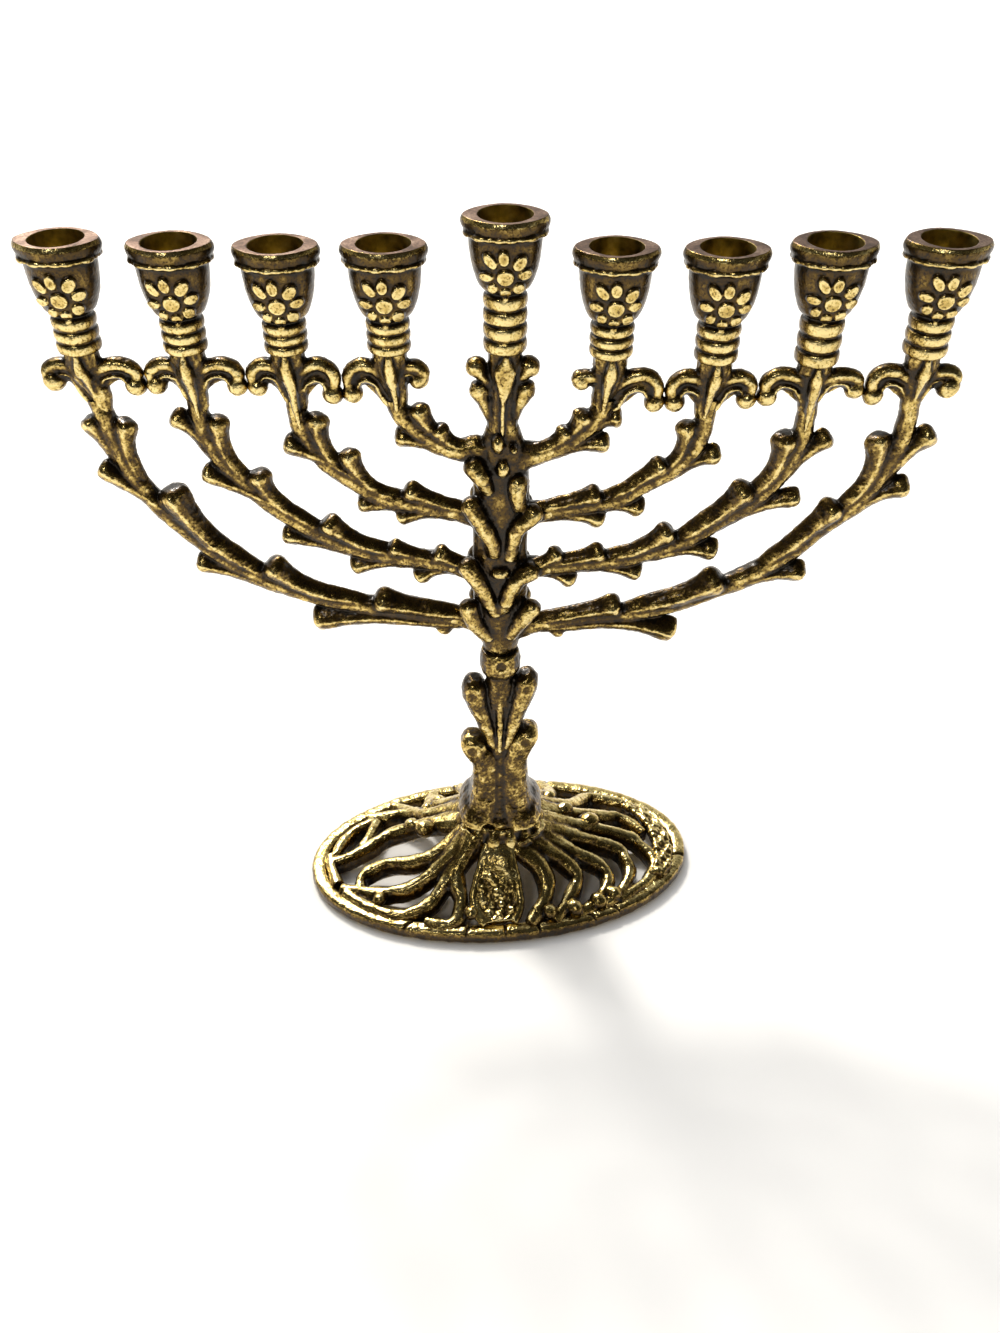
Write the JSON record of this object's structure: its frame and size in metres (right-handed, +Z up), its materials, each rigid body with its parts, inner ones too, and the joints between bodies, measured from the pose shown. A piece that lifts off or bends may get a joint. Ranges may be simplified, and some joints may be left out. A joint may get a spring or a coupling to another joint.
{
  "type": "hanukkah menorah",
  "caption": "Cast brass hanukkah menorah: candle cups in a row on twig-like branches, over a pierced oval base of root-like strands.",
  "frame": {"origin": "on the table under the trunk, in the middle of the base", "axes": "+Z up, +X along the row of cups to the viewer's right, front at -Y"},
  "size_m": [0.1862, 0.0576, 0.1751],
  "materials": {
    "cast_brass": "antique cast brass, dark in the recesses, rubbed bright on the high places",
    "screw_steel": "zinc-plated, dulled"
  },
  "bodies": {
    "root": {"base_rim": "cast_brass", "base_collar": "cast_brass", "medallion_plate": "cast_brass", "base_end_band": "cast_brass", "roots_left_front": "cast_brass", "roots_left_back": "cast_brass", "roots_right_front": "cast_brass", "roots_right_back": "cast_brass", "roots_back": "cast_brass", "stem_lower": "cast_brass", "stem_upper": "cast_brass", "trunk": "cast_brass", "shamash_stalk": "cast_brass", "arm_1": "cast_brass", "arm_2": "cast_brass", "arm_3": "cast_brass", "arm_4": "cast_brass", "arm_5": "cast_brass", "arm_6": "cast_brass", "arm_7": "cast_brass", "arm_8": "cast_brass", "calyx_1": "cast_brass", "calyx_2": "cast_brass", "calyx_3": "cast_brass", "calyx_4": "cast_brass", "calyx_5": "cast_brass", "calyx_6": "cast_brass", "calyx_7": "cast_brass", "calyx_8": "cast_brass", "cup_1": "cast_brass", "cup_2": "cast_brass", "cup_3": "cast_brass", "cup_4": "cast_brass", "cup_5": "cast_brass", "cup_6": "cast_brass", "cup_7": "cast_brass", "cup_8": "cast_brass", "cup_shamash": "cast_brass", "base_screw": "screw_steel", "base_washer": "screw_steel"}
  },
  "joints": []
}
